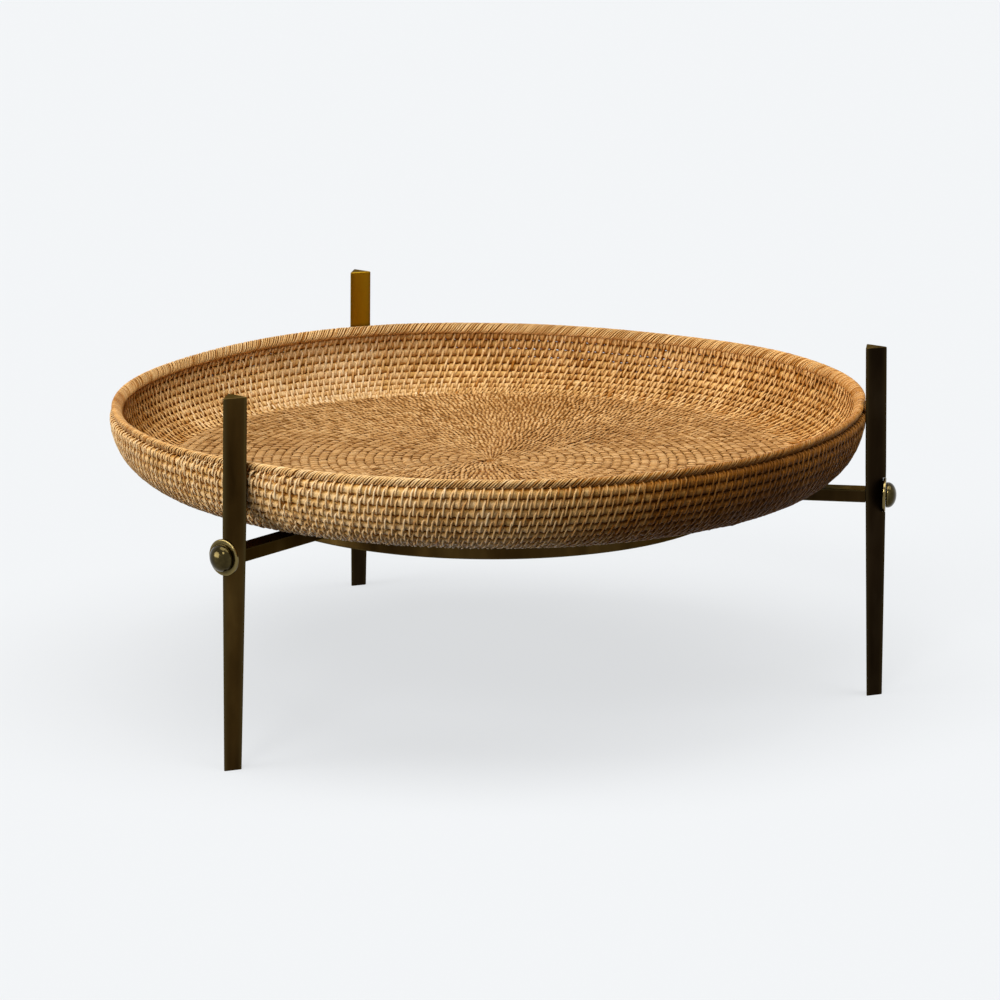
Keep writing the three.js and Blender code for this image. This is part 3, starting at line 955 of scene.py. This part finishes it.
def leg_outline():
    """Rounded triangle as points, with how near each lies to an edge."""
    steps = 8
    third = 2 * math.pi / 3
    points = []
    wear = []
    for corner in range(3):
        angle = corner * third
        for step in range(steps + 1):
            turn = angle + (step / steps - 0.5) * third
            points.append(leg_edge(angle, turn))
            wear.append(1.0)
        start = points[-1]
        end = leg_edge(angle + third, angle + third / 2)
        for step in range(1, steps):
            points.append(start + (end - start) * (step / steps))
            wear.append(0.45 if step in (1, steps - 1) else 0.0)
    return np.array(points), np.array(wear)


def leg(place, angle, material, patina_and_shade):
    """Triangular bar, tapering to its foot, with the washer's notch cut across its edge."""
    outline, wear = leg_outline()
    # The inner face near the tray is painted gold, as a painted reflection of the cane.
    inner_face = np.clip((-outline[:, 0] / LEG_SECTION_RADIUS - 0.3) / 0.2, 0, 1)
    inner_face = inner_face * LEG_CANE_REFLECTION[place]
    notch = WASHER_RADIUS + WASHER_SIDE_CLEARANCE
    bevel = 0.0006
    levels = [(0.0, -bevel), (bevel, 0.0)]
    low, high = JOINT_HEIGHT - notch, JOINT_HEIGHT + notch
    for height in np.arange(0.01, LEG_HEIGHT - 0.005, 0.01):
        if not low - 0.003 < height < high + 0.003:
            levels.append((float(height), 0.0))
    levels += [(LEG_HEIGHT - bevel, 0.0), (LEG_HEIGHT, -bevel)]
    levels += [(low, 0.0), (low, None), (high, None), (high, 0.0)]
    levels += [(float(h), None) for h in np.linspace(low, high, 6)[1:-1]]
    levels.sort(key=lambda level: (level[0], (level[1] is None) == (level[0] < JOINT_HEIGHT)))
    rings = []
    worn = []
    cane_reflection = []
    for height, inset in levels:
        share = float(leg_share(height))
        if inset:
            share += inset / LEG_SECTION_RADIUS * 1.6
        lean = LEG_SPLAY * (JOINT_HEIGHT - height)
        x = LEG_AXIS_RADIUS + outline[:, 0] * share + lean
        y = outline[:, 1] * share
        if inset is None:
            x = np.minimum(x, WASHER_SEAT)
        rings.append(np.stack([x, y, np.full_like(x, height)], axis=-1))
        worn.append(wear if inset is None or inset == 0.0 else np.ones_like(wear))
        cane_reflection.append(inner_face * float(np.clip((height - CANE_REFLECTION_HEIGHT) / CANE_REFLECTION_FADE, 0, 1)))
    rings = spoke(np.array(rings), angle)
    values = {"wear": np.array(worn) ** 2, "cane_reflection": np.array(cane_reflection), "patina_and_shade": patina_and_shade}
    add_brass(place + "_bar", rings, values, material, "stand_brass", place + "_leg")


def eased_outline(low, high, steps):
    """A rectangle's outline with eased corners, and the wear along it: full on the corners,
    none on the flat faces just beside them."""
    left, bottom = low[0] + EASED_RADIUS, low[1] + EASED_RADIUS
    right, top = high[0] - EASED_RADIUS, high[1] - EASED_RADIUS
    points = []
    wear = []
    for x, y, first in ((right, top, 0), (left, top, 90), (left, bottom, 180), (right, bottom, 270)):
        turns = np.radians(first + 90 * np.arange(steps + 1) / steps)
        arc = np.array([x, y]) + EASED_RADIUS * np.stack([np.cos(turns), np.sin(turns)], axis=-1)
        before = arc[0] - RUB_MARGIN * np.array([-math.sin(turns[0]), math.cos(turns[0])])
        after = arc[-1] + RUB_MARGIN * np.array([-math.sin(turns[-1]), math.cos(turns[-1])])
        points += [before, *arc, after]
        wear += [0.0] + [1.0] * (steps + 1) + [0.0]
    return np.array(points), np.array(wear)


def arm(place, angle, material, patina_and_shade):
    """Level bar from the hoop to the leg, with eased edges and a brazed foot at the hoop."""
    half_width, half_height = ARM_WIDTH / 2, ARM_HEIGHT / 2
    outline, wear = eased_outline((-half_width, -half_height), (half_width, half_height), 4)
    rows = []
    stations = 24
    for station in range(stations + 1):
        share = station / stations
        y, z = outline[:, 0], outline[:, 1] + JOINT_HEIGHT
        taper = (LEG_SECTION_RADIUS - LEG_FOOT_RADIUS) / (2 * LEG_TAPER_HEIGHT)
        outer = (
            LEG_AXIS_RADIUS
            - LEG_APOTHEM
            + LEG_SPLAY * (JOINT_HEIGHT - z)
            + taper * np.maximum(LEG_TAPER_HEIGHT - z, 0)
            - SEAT_GAP
        )
        start = np.sqrt(HOOP_RADIUS**2 - y**2) + 0.0001
        x = start + (outer - start) * share
        flare = ARM_FLARE * math.exp(-share * (LEG_AXIS_RADIUS - HOOP_RADIUS) / ARM_FLARE)
        y = y * (1 + flare / half_width)
        z = JOINT_HEIGHT + (z - JOINT_HEIGHT) * (1 + flare / half_height)
        rows.append(np.stack([x, y, z], axis=-1))
    rings = spoke(np.array(rows), angle)
    values = {"wear": wear, "patina_and_shade": patina_and_shade}
    add_brass(place + "_bracket", rings, values, material, "stand_brass", place + "_arm")


def quarter(steps):
    """Angles of a quarter turn."""
    return [math.pi / 2 * step / steps for step in range(steps + 1)]


def lathe(name, profile, start, angle, material, node):
    """A profile of (radius, distance, wear) turned about a spoke, and closed at both ends."""
    steps = 96
    turn = 2 * math.pi * np.arange(steps) / steps
    radius, distance, wear = (column[:, None] for column in np.array(profile).T)
    distance = start + distance + 0 * turn
    height = JOINT_HEIGHT + radius * np.sin(turn)
    rings = spoke(np.stack([distance, radius * np.cos(turn), height], axis=-1), angle)
    add_brass(name, rings, {"wear": wear}, material, "polished_brass", node, order=-1, sharp=50)


def hardware(place, angle, material):
    """Washer and domed nut on the outward edge of a leg."""
    edge = 0.0009
    flat = WASHER_RADIUS - edge
    washer = [(0.0035, 0.0, 0.0), (flat, 0.0, 0.4)]
    for turn in quarter(4):
        washer.append((flat + edge * math.sin(turn), edge - edge * math.cos(turn), 0.7))
    for turn in quarter(4):
        distance = WASHER_THICKNESS - edge + edge * math.sin(turn)
        washer.append((flat + edge * math.cos(turn), distance, 0.9))
    washer.append((NUT_RADIUS + 0.001, WASHER_THICKNESS, 0.1))
    washer.append((0.0035, WASHER_THICKNESS, 0.0))
    lathe(place + "_disc", washer, WASHER_SEAT + SEAT_GAP, angle, material, place + "_washer")
    nut = [(0.0033, 0.004, 0.0), (0.0033, 0.0, 0.0)]
    nut += [(NUT_RADIUS - 0.0007, 0.0, 0.3), (NUT_RADIUS - 0.0001, 0.0005, 0.6)]
    for step, turn in enumerate(quarter(32)):
        distance = NUT_SKIRT + (NUT_HEIGHT - NUT_SKIRT) * math.sin(turn)
        radius = max(NUT_RADIUS * math.cos(turn), 0.00005)
        nut.append((radius, distance, 0.25 if step < 2 else 0.0))
    lathe(place + "_dome", nut, NUT_FACE, angle, material, place + "_cap_nut")


def hoop(material):
    """Flat band on edge, closed to a ring."""
    steps = 288
    low = (HOOP_RADIUS - HOOP_THICKNESS, hoop_low.z)
    outline, wear = eased_outline(low, (HOOP_RADIUS, hoop_high.z), 3)
    angle = 2 * math.pi * np.arange(steps)[:, None] / steps
    wobble = 0.0002 * smooth_noise(angle, 5, (3, 5, 9, 14))
    rings = around(outline[:, 0] + wobble, angle, outline[:, 1])
    values = {"wear": wear, "patina_and_shade": HOOP_PATINA}
    node = "support_hoop"
    add_brass("hoop_band", rings, values, material, "stand_brass", node, order=-1, closed=True)


def stand_pieces():
    dark = dark_brass()
    bright = polished_brass()
    hoop(dark)
    for place, degrees in STAND_PLACES.items():
        angle = math.radians(degrees)
        leg(place, angle, dark, LEG_PATINA_AND_SHADE[place])
        arm(place, angle, dark, ARM_PATINA)
        hardware(place, angle, bright)
        for material_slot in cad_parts[place + "_stud"].material_slots:
            material_slot.material = bright


# Tone ramp colours at 0, 0.3, 0.6 and 1; the dark end shows where painted shade lowers the tone.
ROD_COLOURS = ((0.05, 0.014, 0.002), (0.3, 0.114, 0.012), (0.66, 0.4, 0.13), (0.86, 0.62, 0.33))
PEEL_COLOURS = ((0.07, 0.022, 0.004), (0.41, 0.168, 0.026), (0.79, 0.515, 0.22), (0.91, 0.72, 0.45))
FLOOR_COLOURS = ((0.05, 0.016, 0.003), (0.28, 0.125, 0.028), (0.6, 0.345, 0.13), (0.8, 0.55, 0.28))


def tray_pieces():
    rods = rattan_look("rattan_rod", ROD_COLOURS, roughness=0.30, coat=0.03)
    laces = rattan_look("rattan_peel", PEEL_COLOURS, roughness=0.32, coat=0.03)
    flat = rattan_look("rattan_floor_peel", FLOOR_COLOURS, roughness=0.42, coat=0.02)
    wall_coil("wall_coil_upper", 0, 4, rods)
    wall_coil("wall_coil_lower", 5, WALL_LOOPS - 1, rods)
    for number, first in enumerate((-1, 2, 5, 8), start=1):
        loops = range(first, min(first + 3, WALL_LOOPS))
        wall_lacing("wall_lacing_" + str(number), loops, laces)
    rim_core(rods)
    rim_winding(laces)
    floor_spiral(rods)
    floor_stitches(flat)


# The studio

# Each lamp's strength, its azimuth, elevation and spread, in degrees
LAMPS = {
    "key_lamp": (3.05, 198, 10, 34),
    "top_lamp": (1.4, 350, 66, 40),
    "front_lamp": (0.85, 250, 40, 16),
    "fill_lamp": (1.85, 200, 78, 40),
}
SKY_TOP = 0.10
SKY_SIDE = 0.03
SKY_COLOUR = (1.0, 1.0, 1.0, 1.0)
FLOOR_SHADE_SHARE = 0.19
FLOOR_GLOW = 0.914
FLOOR_SHADED = (0.90, 0.92, 0.935, 1.0)
FLOOR_UNSEEN = (0.08, 0.08, 0.08, 1.0)


def sun(name, strength, azimuth, elevation, spread):
    """A lamp that shines from an azimuth about the table and an elevation."""
    data = bpy.data.lights.new(name, "SUN")
    data.energy = strength
    data.angle = math.radians(spread)
    lamp = bpy.data.objects.new(name, data)
    bpy.context.scene.collection.objects.link(lamp)
    level = math.cos(math.radians(elevation))
    x = level * math.cos(math.radians(azimuth))
    y = level * math.sin(math.radians(azimuth))
    towards = Vector((x, y, math.sin(math.radians(elevation))))
    lamp.rotation_euler = towards.to_track_quat("Z", "Y").to_euler()
    lamp.location = towards * 3


def seen_rays(nodes):
    """1 for the rays that show the background: the camera's, and those in metal or glass."""
    path = nodes.add("LightPath", {}).outputs
    total = path["Is Camera Ray"]
    for name in ("Is Glossy Ray", "Is Transmission Ray"):
        total = nodes.add("Math", {0: total, 1: path[name]}, operation="MAXIMUM").outputs[0]
    return total


def sky():
    """A faint even light from above, and the page behind the table."""
    world = bpy.data.worlds.new("studio")
    bpy.context.scene.world = world
    nodes = Nodes(world)
    nodes.tree.nodes.clear()
    place = nodes.add("TexCoord", {}).outputs["Generated"]
    height = nodes.add("SeparateXYZ", {0: place}).outputs["Z"]
    inputs = {"Value": height, "To Min": SKY_SIDE, "To Max": SKY_TOP}
    strength = nodes.add("MapRange", inputs).outputs[0]
    light = nodes.add("Background", {"Color": SKY_COLOUR, "Strength": strength}).outputs[0]
    page = nodes.add("Background", {"Color": PAGE}).outputs[0]
    mix = nodes.add("MixShader", {0: seen_rays(nodes), 1: light, 2: page}).outputs[0]
    nodes.add("OutputWorld", {0: mix})


def floor():
    """Pale floor that fades into the page and keeps a soft shadow of the table."""
    material = bpy.data.materials.new("studio_floor")
    nodes = Nodes(material)
    nodes.tree.nodes.clear()
    glow = nodes.add("Emission", {"Color": PAGE, "Strength": FLOOR_GLOW}).outputs[0]
    shaded = nodes.add("BsdfDiffuse", {"Color": FLOOR_SHADED}).outputs[0]
    seen = nodes.add("MixShader", {0: FLOOR_SHADE_SHARE, 1: glow, 2: shaded}).outputs[0]
    unseen = nodes.add("BsdfDiffuse", {"Color": FLOOR_UNSEEN}).outputs[0]
    mix = nodes.add("MixShader", {0: seen_rays(nodes), 1: unseen, 2: seen}).outputs[0]
    nodes.add("OutputMaterial", {0: mix})
    half = 40.0
    corners = [(-half, -half, 0), (half, -half, 0), (half, half, 0), (-half, half, 0)]
    mesh = make_mesh("studio_floor", corners, [(0, 1, 2, 3)])
    mesh.materials.append(material)
    ground = bpy.data.objects.new("studio_floor", mesh)
    bpy.context.scene.collection.objects.link(ground)


def camera():
    data = bpy.data.cameras.new("camera")
    data.sensor_width = CAMERA_SENSOR_MM
    data.lens = CAMERA_LENS_MM
    data.clip_end = 200.0
    ahead = math.cos(CAMERA_PITCH)
    forward = Vector(
        (math.sin(CAMERA_YAW) * ahead, math.cos(CAMERA_YAW) * ahead, -math.sin(CAMERA_PITCH))
    )
    level = Vector((math.cos(CAMERA_YAW), -math.sin(CAMERA_YAW), 0.0))
    upright = level.cross(forward)
    right = math.cos(CAMERA_ROLL) * level + math.sin(CAMERA_ROLL) * upright
    upward = right.cross(forward)
    holder = bpy.data.objects.new("camera", data)
    bpy.context.scene.collection.objects.link(holder)
    matrix = np.eye(4)
    matrix[:3, :3] = np.array([right, upward, -forward]).T
    matrix[:3, 3] = AXIS + np.array([0, -CAMERA_DISTANCE, CAMERA_HEIGHT])
    holder.matrix_world = Matrix(matrix)
    bpy.context.scene.camera = holder


def studio():
    bpy.context.scene.view_settings.view_transform = "Standard"
    sky()
    for name, (strength, azimuth, elevation, spread) in LAMPS.items():
        sun(name, strength, azimuth, elevation, spread)
    floor()


camera()
studio()
stand_pieces()
tray_pieces()
